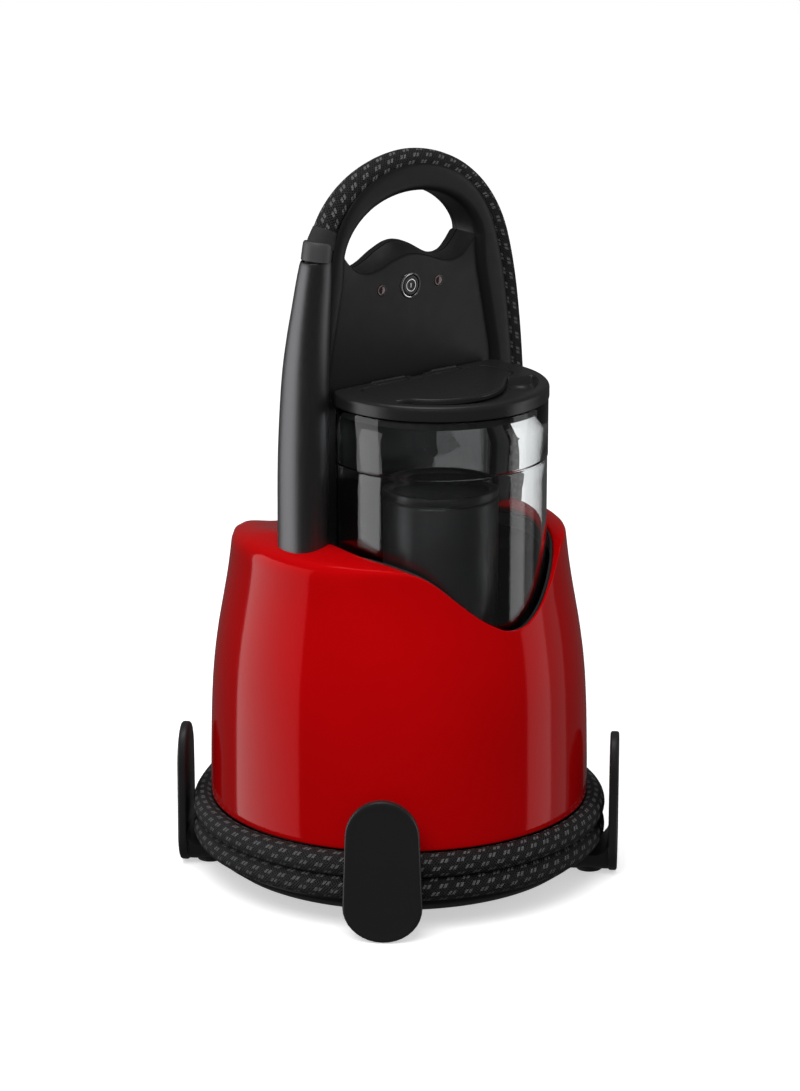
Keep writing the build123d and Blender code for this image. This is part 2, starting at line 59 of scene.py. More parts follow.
# -------- small maths, all in millimetres
def lerp(a, b, t):
    return a + (b - a) * t


def smooth(t):
    t = min(1.0, max(0.0, t))
    return t * t * (3 - 2 * t)


def curve_value(points, x):
    """Smooth curve through (x, value) pairs."""
    if x <= points[0][0]:
        return points[0][1]
    if x >= points[-1][0]:
        return points[-1][1]
    i = max(k for k in range(len(points) - 1) if points[k][0] <= x)
    slopes = []
    for k in (i, i + 1):
        a, b = points[max(0, k - 1)], points[min(len(points) - 1, k + 1)]
        slopes.append((b[1] - a[1]) / (b[0] - a[0]))
    (x0, y0), (x1, y1) = points[i], points[i + 1]
    h = x1 - x0
    t = (x - x0) / h
    return ((1 + 2 * t) * (1 - t) ** 2 * y0 + t * (1 - t) ** 2 * h * slopes[0]
            + t * t * (3 - 2 * t) * y1 + t * t * (t - 1) * h * slopes[1])


def spline(points, count):
    """Points of an open quadratic B-spline that starts and ends at the end points."""
    n = len(points)
    knots = [0.0] * 3 + [float(k) for k in range(1, n - 2)] + [float(n - 2)] * 3
    result = []
    for j in range(count):
        u = (n - 2) * j / (count - 1)
        k = min(int(u), n - 3) + 2
        d = [Vector(points[i]) for i in (k - 2, k - 1, k)]
        for r in (1, 2):
            for i in range(2, r - 1, -1):
                low = knots[i + k - 2]
                high = knots[i + 1 + k - r]
                t = 0.0 if high == low else (u - low) / (high - low)
                d[i] = d[i - 1].lerp(d[i], t)
        result.append(d[2])
    return result


def around(count):
    """Evenly spaced angles of a full turn."""
    return [TAU * i / count for i in range(count)]


def arc(x, y, radius, start, end, count, first=0):
    """Points along an arc, from its step number first to its last."""
    turns = [lerp(start, end, k / count) for k in range(first, count + 1)]
    return [(x + radius * math.cos(a), y + radius * math.sin(a)) for a in turns]


# -------- materials
def shader(name, **inputs):
    """A principled material; returns it with its node tree and its shader."""
    material = bpy.data.materials.new(name)
    material.use_nodes = True
    tree = material.node_tree
    principled = tree.nodes["Principled BSDF"]
    for key, value in inputs.items():
        principled.inputs[key.replace("_", " ").title().replace("Ior", "IOR")].default_value = value
    return material, tree, principled


def node(tree, kind, inputs=None, **settings):
    made = tree.nodes.new("ShaderNode" + kind)
    for key, value in settings.items():
        setattr(made, key, value)
    for key, value in (inputs or {}).items():
        if isinstance(value, bpy.types.NodeSocket):
            tree.links.new(value, made.inputs[key])
        else:
            made.inputs[key].default_value = value
    return made


def ramp(tree, value, stops):
    made = node(tree, "ValToRGB", {"Fac": value})
    elements = made.color_ramp.elements
    while len(elements) < len(stops):
        elements.new(0.5)
    for element, (place, colour) in zip(elements, stops):
        element.position = place
        element.color = colour if len(colour) == 4 else (*colour, 1.0)
    return made.outputs["Color"]


def grey(value):
    return (value, value, value, 1.0)


def moulded(name, colour, rough, grain=0.12, size=2400.0, spread=0.05, wear=0.35, coat=0.0,
            bump=0.00003, specular=0.5):
    """Moulded plastic or rubber: fine grain, slow colour drift, mottled roughness and paler worn edges."""
    material, tree, principled = shader(name)
    space = node(tree, "TexCoord").outputs["Object"]
    slow = node(tree, "TexNoise", {"Vector": space, "Scale": 22.0, "Detail": 5.0, "Roughness": 0.6})
    fine = node(tree, "TexNoise", {"Vector": space, "Scale": size, "Detail": 2.0})
    scuff = node(tree, "TexNoise", {"Vector": space, "Scale": 160.0, "Detail": 6.0, "Roughness": 0.7})
    dark = tuple(c * (1 - spread) for c in colour)
    pale = tuple(min(1.0, c * (1 + spread)) for c in colour)
    base = ramp(tree, slow.outputs["Fac"], [(0.3, dark), (0.7, pale)])
    edge = ramp(tree, node(tree, "NewGeometry").outputs["Pointiness"],
                [(0.52, grey(0.0)), (0.6, grey(1.0))])
    broken = node(tree, "Math", {0: edge, 1: scuff.outputs["Fac"]}, operation="MULTIPLY")
    worn = tuple(min(1.0, c * 1.9 + 0.012) for c in colour)
    worn_share = node(tree, "Math", {0: broken.outputs[0], 1: wear}, operation="MULTIPLY").outputs[0]
    mix = node(tree, "Mix", {"Factor": worn_share}, data_type="RGBA")
    tree.links.new(base, mix.inputs[6])
    mix.inputs[7].default_value = (*worn, 1.0)
    tree.links.new(mix.outputs[2], principled.inputs["Base Color"])
    mottled = node(tree, "MapRange", {"Value": scuff.outputs["Fac"], "From Min": 0.3, "From Max": 0.7,
                                      "To Min": rough * (1 - grain), "To Max": rough * (1 + grain)})
    tree.links.new(mottled.outputs["Result"], principled.inputs["Roughness"])
    relief = node(tree, "Bump", {"Height": fine.outputs["Fac"], "Strength": 0.6, "Distance": bump})
    tree.links.new(relief.outputs["Normal"], principled.inputs["Normal"])
    principled.inputs["Specular IOR Level"].default_value = specular
    principled.inputs["Coat Weight"].default_value = coat
    principled.inputs["Coat Roughness"].default_value = 0.05
    return material


def metal(name, colour, rough, along="z", streak=0.25, bump=0.00004):
    """Metal with brushing or turning marks along one axis."""
    material, tree, principled = shader(name, metallic=1.0)
    space = node(tree, "TexCoord").outputs["Object"]
    squeeze = {"x": (12.0, 1400.0, 1400.0), "y": (1400.0, 12.0, 1400.0), "z": (1400.0, 1400.0, 12.0)}[along]
    stretched = node(tree, "Mapping", {"Vector": space, "Scale": squeeze}).outputs["Vector"]
    lines = node(tree, "TexNoise", {"Vector": stretched, "Scale": 1.0, "Detail": 4.0})
    base = ramp(tree, lines.outputs["Fac"], [(0.25, tuple(c * (1 - streak) for c in colour)),
                                             (0.75, tuple(min(1.0, c * (1 + streak)) for c in colour))])
    tree.links.new(base, principled.inputs["Base Color"])
    rough_range = node(tree, "MapRange",
                       {"Value": lines.outputs["Fac"], "To Min": rough * 0.8, "To Max": rough * 1.25})
    tree.links.new(rough_range.outputs["Result"], principled.inputs["Roughness"])
    relief = node(tree, "Bump", {"Height": lines.outputs["Fac"], "Strength": 0.5, "Distance": bump})
    tree.links.new(relief.outputs["Normal"], principled.inputs["Normal"])
    return material


def clear_plastic(name):
    """Clear moulded plastic with faint waves, hairline scratches and a little haze."""
    material, tree, principled = shader(name, transmission_weight=1.0, ior=1.49)
    principled.inputs["Specular IOR Level"].default_value = 0.25
    space = node(tree, "TexCoord").outputs["Object"]
    slow = node(tree, "TexNoise", {"Vector": space, "Scale": 30.0, "Detail": 3.0})
    stretched = node(tree, "Mapping", {"Vector": space, "Scale": (900, 900, 40)}).outputs["Vector"]
    scratch = node(tree, "TexNoise", {"Vector": stretched, "Scale": 1.0, "Detail": 3.0})
    base = ramp(tree, slow.outputs["Fac"], [(0.3, (0.93, 0.95, 0.955)), (0.7, (0.96, 0.97, 0.975))])
    tree.links.new(base, principled.inputs["Base Color"])
    haze = node(tree, "MapRange", {"Value": scratch.outputs["Fac"], "From Min": 0.55, "From Max": 0.8,
                                   "To Min": 0.0, "To Max": 0.03})
    tree.links.new(haze.outputs["Result"], principled.inputs["Roughness"])
    relief = node(tree, "Bump", {"Height": slow.outputs["Fac"], "Strength": 0.25, "Distance": 0.0002})
    tree.links.new(relief.outputs["Normal"], principled.inputs["Normal"])
    return material


def braid(name):
    """Woven hose sleeve: fine crossing strands with pairs of pale ticks in staggered rows."""
    material, tree, principled = shader(name)
    uv = node(tree, "UVMap", uv_map="UVMap").outputs["UV"]
    split = node(tree, "SeparateXYZ", {"Vector": uv})
    turn, length = split.outputs["X"], split.outputs["Y"]

    def maths(operation, a, b=None):
        made = node(tree, "Math", {0: a}, operation=operation)
        if b is not None:
            if isinstance(b, bpy.types.NodeSocket):
                tree.links.new(b, made.inputs[1])
            else:
                made.inputs[1].default_value = b
        return made.outputs[0]

    def wave(value):
        return maths("SINE", maths("MULTIPLY", value, TAU))

    # strands cross at a shallow angle; one cell of the weave is 1.7 mm long
    cells = maths("MULTIPLY", length, 590.0)
    round_cells = maths("MULTIPLY", turn, 22.0)
    one = wave(maths("ADD", cells, round_cells))
    two = wave(maths("SUBTRACT", cells, round_cells))
    weave = maths("MULTIPLY", maths("ABSOLUTE", one), maths("ABSOLUTE", two))
    over = maths("MAXIMUM", one, two)
    # pale ticks: rows round the hose, every other row shifted by half a step
    rows = maths("MULTIPLY", turn, 10.0)
    row = maths("FLOOR", rows)
    shift = maths("MULTIPLY", maths("MODULO", row, 2.0), 0.5)
    steps = maths("FRACT", maths("ADD", maths("MULTIPLY", length, 1 / 0.0088), shift))
    across = maths("SUBTRACT", maths("FRACT", rows), 0.5)
    lean = maths("ADD", steps, maths("MULTIPLY", across, 0.28))
    double = maths("ABSOLUTE", maths("SUBTRACT", maths("ABSOLUTE", maths("SUBTRACT", lean, 0.5)), 0.13))
    tick = maths("LESS_THAN", double, 0.085)
    inside = maths("LESS_THAN", maths("ABSOLUTE", across), 0.26)
    tick = maths("MULTIPLY", tick, inside)
    thread = node(tree, "TexNoise", {"Vector": uv, "Scale": 900.0, "Detail": 3.0})
    # strand tops paler and the dips between strands darker: painted shade in the weave's hollows
    dark = ramp(tree, maths("MULTIPLY", over, 0.5),
                [(0.0, (0.003, 0.003, 0.0033)), (0.5, (0.016, 0.0162, 0.017))])
    pale = ramp(tree, thread.outputs["Fac"], [(0.3, (0.07, 0.07, 0.072)), (0.7, (0.14, 0.14, 0.145))])
    mix = node(tree, "Mix", {"Factor": tick}, data_type="RGBA")
    tree.links.new(dark, mix.inputs[6])
    tree.links.new(pale, mix.inputs[7])
    tree.links.new(mix.outputs[2], principled.inputs["Base Color"])
    rough = node(tree, "MapRange", {"Value": thread.outputs["Fac"], "To Min": 0.5, "To Max": 0.8})
    tree.links.new(rough.outputs["Result"], principled.inputs["Roughness"])
    relief = node(tree, "Bump", {"Height": maths("ADD", over, maths("MULTIPLY", weave, 0.5)),
                                 "Strength": 0.9, "Distance": 0.00035})
    tree.links.new(relief.outputs["Normal"], principled.inputs["Normal"])
    return material


RED = moulded("red_gloss", (0.45, 0.0012, 0.0022), 0.09, grain=0.1, size=700.0, spread=0.03, wear=0.04,
              bump=0.000003)
RED.node_tree.nodes["Principled BSDF"].inputs["Specular Tint"].default_value = (1.0, 0.06, 0.07, 1.0)
SATIN = moulded("black_satin", (0.0075, 0.0075, 0.0078), 0.40, specular=0.3)
PANEL = moulded("black_panel", (0.0075, 0.0075, 0.0078), 0.42, wear=0.1, specular=0.4)
HOOK = moulded("hook_black", (0.012, 0.012, 0.013), 0.36, wear=0.5)
LID = moulded("lid_black", (0.0115, 0.0115, 0.012), 0.30)
RUBBER = moulded("rubber_black", (0.018, 0.018, 0.018), 0.7, grain=0.2, size=1500.0, bump=0.00006)
GREY = moulded("dark_grey", (0.045, 0.045, 0.047), 0.42)
LINER = moulded("grey_liner", (0.011, 0.011, 0.0115), 0.45, wear=0.2)
# pale grey band: a painted reflection of the white studio on the well's inner wall
STUDIO_REFLECTION_BAND = moulded("grey_band_painted_reflection", (0.16, 0.16, 0.165), 0.5)
FILTER = moulded("filter_grey", (0.02, 0.02, 0.021), 0.4, size=900.0, bump=0.000006)
TUBE = moulded("tube_white", (0.6, 0.6, 0.58), 0.45, size=1200.0)
BOARD = moulded("board_green", (0.02, 0.15, 0.06), 0.4)
LENS = moulded("lens_dark", (0.02, 0.006, 0.006), 0.12, coat=1.0)
RISER = metal("dark_metal", (0.14, 0.14, 0.145), 0.42, "z", streak=0.1)
STEEL = metal("steel", (0.55, 0.55, 0.56), 0.3, "x")
CHROME = metal("chrome_ring", (0.82, 0.82, 0.84), 0.12, "y", streak=0.04, bump=0.00001)
BRASS = metal("brass", (0.7, 0.48, 0.18), 0.3, "z")
ALUMINIUM = metal("aluminium", (0.62, 0.62, 0.64), 0.38, "z")
CLEAR = clear_plastic("clear_plastic")
BRAID = braid("hose_braid")

SLOT_LOOK = {
    "red_gloss": RED, "black_satin": SATIN, "black_gloss": LID, "hook_black": HOOK, "clear_plastic": CLEAR,
    "dark_metal": RISER, "dark_grey": GREY, "hose_braid": BRAID, "rubber_black": RUBBER, "steel": STEEL,
    "chrome_ring": CHROME, "brass": BRASS, "aluminium": ALUMINIUM, "lens_red": LENS, "board_green": BOARD,
    "grey_liner": LINER, "filter_grey": FILTER, "tube_white": TUBE,
}


# -------- mesh helpers
def piece(name, points, faces, material, body="unit", stands_for=(), slot=None, angle=38, uvs=None):
    """A mesh piece in millimetres that rides on a body; its slot argument is not used."""
    mesh = bpy.data.meshes.new(name)
    mesh.from_pydata([Vector(p) * MM for p in points], [], faces)
    mesh.validate()
    if uvs:
        layer = mesh.uv_layers.new(name="UVMap")
        for loop in mesh.loops:
            layer.data[loop.index].uv = uvs[loop.vertex_index]
    mesh.shade_smooth()
    mesh.set_sharp_from_angle(angle=math.radians(angle))
    made = bpy.data.objects.new(name, mesh)
    bpy.context.scene.collection.objects.link(made)
    made.data.materials.append(material)
    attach(made, body)
    if stands_for:
        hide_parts(*([stands_for] if isinstance(stands_for, str) else stands_for))
    return made


def skin(loops, closed=True, cap_low=False, cap_high=False, ring=False):
    """Points and faces of a skin over loops of equal length; ring joins the last loop to the first."""
    size = len(loops[0])
    points = [p for loop in loops for p in loop]
    faces = []
    rows = len(loops) if ring else len(loops) - 1
    for j in range(rows):
        a, b = j * size, ((j + 1) % len(loops)) * size
        for i in range(size if closed else size - 1):
            k = (i + 1) % size
            faces.append((a + i, a + k, b + k, b + i))
    if cap_low:
        faces.append(tuple(range(size))[::-1])
    if cap_high:
        faces.append(tuple((len(loops) - 1) * size + i for i in range(size)))
    return points, faces


def lathe(outline, centre=(0.0, 0.0), count=96, closed_outline=False):
    """Turned shape from an (r, z) outline, listed from the inside bottom round to the inside top."""
    loops = []
    for r, z in outline:
        loops.append([(centre[0] + r * math.cos(a), centre[1] + r * math.sin(a), z) for a in around(count)])
    return skin(loops, ring=closed_outline, cap_low=not closed_outline, cap_high=not closed_outline)


def along_frame(origin, way):
    """Start, way and two crossing directions of a line."""
    way = Vector(way).normalized()
    side = way.cross(Vector((0, 0, 1)) if abs(way.z) < 0.9 else Vector((0, 1, 0))).normalized()
    return Vector(origin), way, side, way.cross(side)


def circles(outline, origin, way, count):
    """A circle about a line for each (distance, radius) pair."""
    start, way, side, up = along_frame(origin, way)
    loops = []
    for distance, radius in outline:
        middle = start + way * distance
        loops.append([middle + (side * math.cos(a) + up * math.sin(a)) * radius for a in around(count)])
    return loops


def turned_along(outline, origin, way, count=48):
    """Turned shape about any line from (distance, radius) pairs."""
    return skin(circles(outline, origin, way, count), cap_low=True, cap_high=True)


def box_solid(low, high):
    (x0, y0, z0), (x1, y1, z1) = low, high
    loops = [[(x0, y0, z), (x1, y0, z), (x1, y1, z), (x0, y1, z)] for z in (z0, z1)]
    return skin(loops, cap_low=True, cap_high=True)


def joined(*solids):
    """One list of points and one of faces from several (points, faces) pairs."""
    points, faces = [], []
    for more_points, more_faces in solids:
        faces += [tuple(i + len(points) for i in face) for face in more_faces]
        points += more_points
    return points, faces


def inset_loop(loop, amount, z):
    """A flat loop moved inwards along its corner normals, at height z; the loop runs anticlockwise."""
    size = len(loop)
    result = []
    for i, (x, y) in enumerate(loop):
        (ax, ay), (bx, by) = loop[i - 1], loop[(i + 1) % size]
        tx, ty = bx - ax, by - ay
        length = math.hypot(tx, ty) or 1.0
        result.append((x - amount * ty / length, y + amount * tx / length, z))
    return result


def tank_loop(radius, back, corner=4.0):
    """Circle about the tank's centre with a flat back and rounded corners, anticlockwise from the left."""
    y_c = back - corner
    x_c = math.sqrt((radius - corner) ** 2 - (y_c - TANK_Y) ** 2)
    a_end = math.atan2(y_c - TANK_Y, x_c)
    loop = arc(0.0, TANK_Y, radius, math.pi - a_end, TAU + a_end, 72)
    loop += arc(x_c, y_c, corner, a_end, math.pi / 2, 5, 1)
    loop += [(lerp(x_c, -x_c, i / 12), back) for i in range(1, 12)]
    return loop + arc(-x_c, y_c, corner, math.pi / 2, math.pi - a_end, 5)[:-1]


# -------- camera, light and floor
def look(obj, target):
    obj.rotation_euler = (Vector(target) - obj.location).to_track_quat("-Z", "Y").to_euler()


camera = bpy.data.objects.new("camera", bpy.data.cameras.new("camera"))
camera.location = (-1.32334, -1.53642, 0.77109)
camera.rotation_euler = Vector((0.62748, 0.72816, -0.27577)).to_track_quat("-Z", "Y").to_euler()
camera.data.lens = 124.15
camera.data.sensor_width = 36.0
bpy.context.scene.collection.objects.link(camera)
bpy.context.scene.camera = camera


def softbox(name, azimuth, distance, low, high, width, radiance, sees, aim=None):
    """Softbox that faces the axis, level or at height aim; seen in "gloss", as "light" or as "both"."""
    light = bpy.data.lights.new(name, "AREA")
    light.shape = "RECTANGLE"
    light.size, light.size_y = width, high - low
    light.energy = radiance * math.pi * width * (high - low)
    made = bpy.data.objects.new(name, light)
    turn = math.radians(azimuth)
    made.location = (distance * math.cos(turn), distance * math.sin(turn), 0.5 * (low + high))
    look(made, (0, 0, made.location.z if aim is None else aim))
    made.visible_camera = False
    made.visible_diffuse = sees != "gloss"
    made.visible_glossy = sees != "light"
    bpy.context.scene.collection.objects.link(made)


softbox("card_left", 141.0, 2.2, -1.0, 1.3, 2.2, 1.75, "gloss")
softbox("card_right", 322.0, 2.2, -1.0, 1.1, 0.8, 1.1, "gloss")
softbox("card_far", 341.0, 2.2, -1.0, 1.1, 0.66, 0.25, "gloss")
softbox("key", 215.0, 0.9, 0.75, 1.35, 0.8, 7.6, "light", 0.25)
softbox("crown", 100.0, 0.3, 1.6, 2.6, 1.2, 1.6, "both", 0.1)
softbox("sheen", 100.0, 0.3, 1.6, 2.6, 1.2, 2.2, "gloss", 0.1)

world = bpy.data.worlds.new("studio")
bpy.context.scene.world = world
world.use_nodes = True
tree = world.node_tree
rays = node(tree, "LightPath")
upward = node(tree, "SeparateXYZ", {"Vector": node(tree, "TexCoord").outputs["Generated"]}).outputs["Z"]
dome = node(tree, "MapRange",
            {"Value": upward, "From Min": -0.4, "From Max": 0.7, "To Min": 0.12, "To Max": 0.62})
for_light = node(tree, "Mix",
                 {"Factor": rays.outputs["Is Glossy Ray"], "A": dome.outputs["Result"], "B": 0.06})
bounces = node(tree, "Math", {0: rays.outputs["Diffuse Depth"], 1: rays.outputs["Glossy Depth"]},
               operation="ADD")
bounced = node(tree, "Math", {0: bounces.outputs[0], 1: 0.5}, operation="GREATER_THAN")
strength = node(tree, "Mix", {"Factor": bounced.outputs[0], "A": 1.0, "B": for_light.outputs[0]})
tree.nodes["Background"].inputs["Color"].default_value = (1.0, 1.0, 1.0, 1.0)
tree.links.new(strength.outputs[0], tree.nodes["Background"].inputs["Strength"])
bpy.context.scene.view_settings.view_transform = "Standard"

floor_mesh = bpy.data.meshes.new("floor")
floor_mesh.from_pydata([(-6, -6, 0), (6, -6, 0), (6, 6, 0), (-6, 6, 0)], [], [(0, 1, 2, 3)])
floor = bpy.data.objects.new("floor", floor_mesh)
floor.location.z = -0.0002
floor.visible_glossy = False
floor.visible_diffuse = False
floor.visible_transmission = False
bpy.context.scene.collection.objects.link(floor)
floor_look, floor_tree, floor_shader = shader("floor_white", roughness=0.6)
floor_space = node(floor_tree, "TexCoord").outputs["Object"]
floor_noise = node(floor_tree, "TexNoise", {"Vector": floor_space, "Scale": 3.0})
floor_tree.links.new(ramp(floor_tree, floor_noise.outputs["Fac"], [(0.3, grey(0.88)), (0.7, grey(0.9))]),
                     floor_shader.inputs["Base Color"])
floor_shader.inputs["Emission Color"].default_value = (1.0, 1.0, 1.0, 1.0)
floor_shader.inputs["Emission Strength"].default_value = 0.52
floor.data.materials.append(floor_look)


# -------- hose
ARCH_RIGHT = [(80.5, 264.0), (77.5, 304.0), (72.0, 342.5), (62.6, 373.6), (41.8, 396.5), (13.4, 408.0)]
ARCH_LEFT = [(-13.4, 408.0), (-42.5, 396.3), (-61.2, 372.5), (-66.0, 343.5)]
DESCENT = [
    (81.5, HOSE_Y, 236.0), (91.5, 0.0, 210.0), (103.0, 14.0, 188.0), (107.0, 38.0, 165.0),
    (98.5, 66.0, 141.0), (76.5, 89.5, 117.0), (48.0, 107.0, 93.0), (16.5, 116.0, 69.5),
    (-16.0, 115.0, 50.5), (-46.5, 103.5, 41.2), (-72.0, 85.5, 39.8),
]
route = [(x, HOSE_Y, z) for x, z in reversed(ARCH_RIGHT + ARCH_LEFT)] + DESCENT
for turn in range(1, 39):
    angle = 130.0 + 15.0 * turn
    height = lerp(39.8, 26.3, smooth((angle - 385.0) / 60.0))
    reach = 110.6 / 0.9915
    route.append((reach * math.cos(math.radians(angle)), reach * math.sin(math.radians(angle)), height))
route.append((111.0 * math.cos(math.radians(-10.6)), 111.0 * math.sin(math.radians(-10.6)), 26.3))
end_a = math.radians(7.0)
end_middle = Vector((110.6 * math.cos(end_a), 110.6 * math.sin(end_a), 26.3))
end_way = Vector((-math.sin(end_a), math.cos(end_a), 0.0))
route.append(tuple(end_middle - end_way * 20))

line = bpy.data.curves.new("hose_line", "CURVE")
line.dimensions = "3D"
strand = line.splines.new("NURBS")
strand.points.add(len(route) - 1)
for point, place in zip(strand.points, route):
    point.co = (*(Vector(place) * MM), 1.0)
strand.order_u = 3
strand.use_endpoint_u = True
strand.resolution_u = 12
line_object = bpy.data.objects.new("hose_line", line)
bpy.context.scene.collection.objects.link(line_object)
bpy.context.view_layer.update()
sampled = bpy.data.meshes.new_from_object(line_object.evaluated_get(bpy.context.evaluated_depsgraph_get()))
centre_line = [v.co.copy() for v in sampled.vertices]
bpy.data.objects.remove(line_object)
bpy.data.meshes.remove(sampled)


def hose_mesh(points, radius_at, count=28):
    """Tube round a line with a radius set by the reach; turn and length in metres are its coordinates."""
    tangents = []
    for i in range(len(points)):
        tangents.append((points[min(i + 1, len(points) - 1)] - points[max(i - 1, 0)]).normalized())
    side = tangents[0].cross(Vector((0, 1, 0))).normalized()
    reach = 0.0
    loops, uvs = [], []
    for i, (point, way) in enumerate(zip(points, tangents)):
        side = (side - way * side.dot(way)).normalized()
        up = way.cross(side)
        if i:
            reach += (point - points[i - 1]).length
        loop, radius = [], radius_at(reach)
        for k in range(count + 1):
            a = TAU * k / count
            loop.append((point + (side * math.cos(a) + up * math.sin(a)) * radius * MM) / MM)
            uvs.append((k / count, reach))
        loops.append(loop)
    cells, faces = skin(loops, closed=False)
    faces.append(tuple(range(count))[::-1])
    faces.append(tuple((len(loops) - 1) * (count + 1) + k for k in range(count)))
    return cells, faces, uvs, reach


hose_points, hose_faces, hose_uvs, hose_length = hose_mesh(centre_line, lambda reach: HOSE_D / 2)
print("hose length", round(hose_length, 4), "points", len(centre_line))
hose = piece("steam_hose", hose_points, hose_faces, BRAID, "unit", ("hose_run", "hose_winding"), angle=60,
             uvs=hose_uvs)


fitting_outline = [
    (-2.0, 6.0), (-1.4, 6.5), (0, 6.55), (2.0, 6.55), (2.3, 6.3), (3.2, 6.3), (3.5, 6.5), (14.0, 6.5),
    (15.0, 6.3), (20.0, 6.2),
]
for k in range(5):
    fitting_outline += [(20.6 + 2.2 * k, 5.6), (21.2 + 2.2 * k, 6.2), (22.4 + 2.2 * k, 6.2)]
fitting_outline += [(32.0, 5.4), (32.6, 4.0), (43.4, 4.0), (44.0, 3.4)]
end_fitting = piece("hose_fitting", *turned_along(fitting_outline, end_middle - end_way * 22, end_way),
                    GREY, "unit", "hose_end_fitting")


# -------- red body
WALL = [
    (47.0, 107.0), (60.0, 107.0), (85.0, 106.5), (112.0, 105.6), (135.0, 103.4), (155.0, 100.0),
    (172.0, 96.8), (186.0, 94.8), (200.0, 93.2), (214.0, 91.8),
]
FRONT_DIP = [
    (0.0, 162.6), (9.0, 164.2), (22.6, 172.0), (33.0, 181.0), (46.7, 194.6), (56.6, 202.4), (66.0, 208.6),
    (80.0, 216.0), (110.0, 226.0),
]
REAR_DIP = [
    (0.0, 188.0), (12.0, 188.8), (25.0, 191.5), (48.0, 199.2), (66.0, 206.8), (80.0, 212.5), (110.0, 222.0),
]
CROWN = [(0.0, 212.0), (40.0, 210.5), (66.0, 208.4), (80.0, 204.9), (95.0, 200.6), (110.0, 195.0)]


def top_height(x, y):
    """Height of the body's upper face, dipped at the front and the back."""
    front = curve_value(FRONT_DIP, abs(x))
    rear = curve_value(REAR_DIP, abs(x))
    dip = lerp(front, rear, smooth((y + 8.0) / 16.0))
    crown = curve_value(CROWN, math.hypot(x, y))
    gap = 3.0
    return -gap * math.log(math.exp(-(dip - 200) / gap) + math.exp(-(crown - 200) / gap)) + 200


def well_reach(angle, radius):
    """Distance from the body's axis to the circle about the tank, at an angle from the front."""
    return -TANK_Y * math.cos(angle) + math.sqrt(radius ** 2 - (TANK_Y * math.sin(angle)) ** 2)


def body_profile(angle):
    """(reach, z) control points from the skirt to the inside of the rim, at an angle from the front."""
    s, c = math.sin(angle), -math.cos(angle)
    z = 195.0
    for _ in range(40):
        r = curve_value(WALL, z)
        z = 0.5 * (z + top_height(r * s, r * c))
    corner_r, corner_z = curve_value(WALL, z), z
    open_front = abs(math.degrees(angle)) < 82.0
    if open_front:
        inner = well_reach(angle, RIM_R)
    else:
        inner = min(61.0, 20.0 / max(0.01, -math.cos(angle))) if math.cos(angle) < 0 else 61.5
    width = corner_r - inner
    size = min(1.0, max(0.1, width / 20.0))
    points = [(103.9, 50.0), (104.1, 46.9), (105.4, 46.2), (106.8, 46.5), (107.0, 48.2)]
    low_end = corner_z - 13.0 * size
    for t in (0.06, 0.2, 0.36, 0.52, 0.67, 0.8, 0.91, 1.0):
        zz = lerp(48.2, low_end, t)
        points.append((curve_value(WALL, zz), zz))
    points.append((corner_r, corner_z))
    for t in (0.38, 0.62, 0.84, 1.0):
        r = corner_r - width * t
        points.append((r, top_height(r * s, r * c)))
    crest = points[-1][1]
    if open_front:
        for radius, drop in ((64.9, 0.2), (64.4, 0.8), (64.2, 1.8), (64.2, 4.0), (64.4, 12.0)):
            points.append((well_reach(angle, radius), crest - drop))
    else:
        for k, drop in ((1.0, 0.6), (2.0, 2.0), (2.4, 4.0), (2.5, 7.0), (2.5, 14.0)):
            points.append((inner - k, crest - drop))
    shoulder = max(points[-1][0] + 1.0, corner_r - 3.4)
    points += [(shoulder, corner_z - 16.0 * size - 3.0), (103.2, 112.0), (104.0, 80.0), (104.2, 60.0),
               (103.9, 50.0)]
    return points


def make_body():
    count, loops = 240, []
    for i in range(count):
        angle = TAU * i / count
        angle = angle if angle <= math.pi else angle - TAU
        profile = spline([(r, 0.0, z) for r, z in body_profile(angle)], 88)
        s, c = math.sin(angle), -math.cos(angle)
        loops.append([(p.x * s, p.x * c, p.z) for p in profile])
    columns = [list(column) for column in zip(*loops)]
    return skin(columns[:-1], ring=True)


def drilled(name, points, faces, material, cutters, angle=38, **where):
    """A piece with holes: each cutter is (points, faces) of a closed solid."""
    body = piece(name, points, faces, material, **where)
    for cutter_points, cutter_faces in cutters:
        mesh = bpy.data.meshes.new("cutter")
        mesh.from_pydata([Vector(p) * MM for p in cutter_points], [], cutter_faces)
        tool = bpy.data.objects.new("cutter", mesh)
        bpy.context.scene.collection.objects.link(tool)
        modifier = body.modifiers.new("cut", "BOOLEAN")
        modifier.operation = "DIFFERENCE"
        modifier.solver = "EXACT"
        modifier.object = tool
        bpy.context.view_layer.update()
        result = bpy.data.meshes.new_from_object(body.evaluated_get(bpy.context.evaluated_depsgraph_get()))
        body.modifiers.clear()
        body.data = result
        bpy.data.objects.remove(tool)
    body.data.shade_smooth()
    body.data.set_sharp_from_angle(angle=math.radians(angle))
    return body


INLET_HOLE = box_solid((-14.4, 85.0, 100.6), (14.4, 125.0, 123.4))
drilled("body_cover", *make_body(), RED, [INLET_HOLE], 60, stands_for="body_shell")


# -------- hooks
def stadium(half_width, low, high):
    """Outline in (across, z) of an upright slot shape, anticlockwise."""
    upper = arc(0.0, high - half_width, half_width, 0.0, math.pi, 18)
    return upper + arc(0.0, low + half_width, half_width, math.pi, TAU, 18)


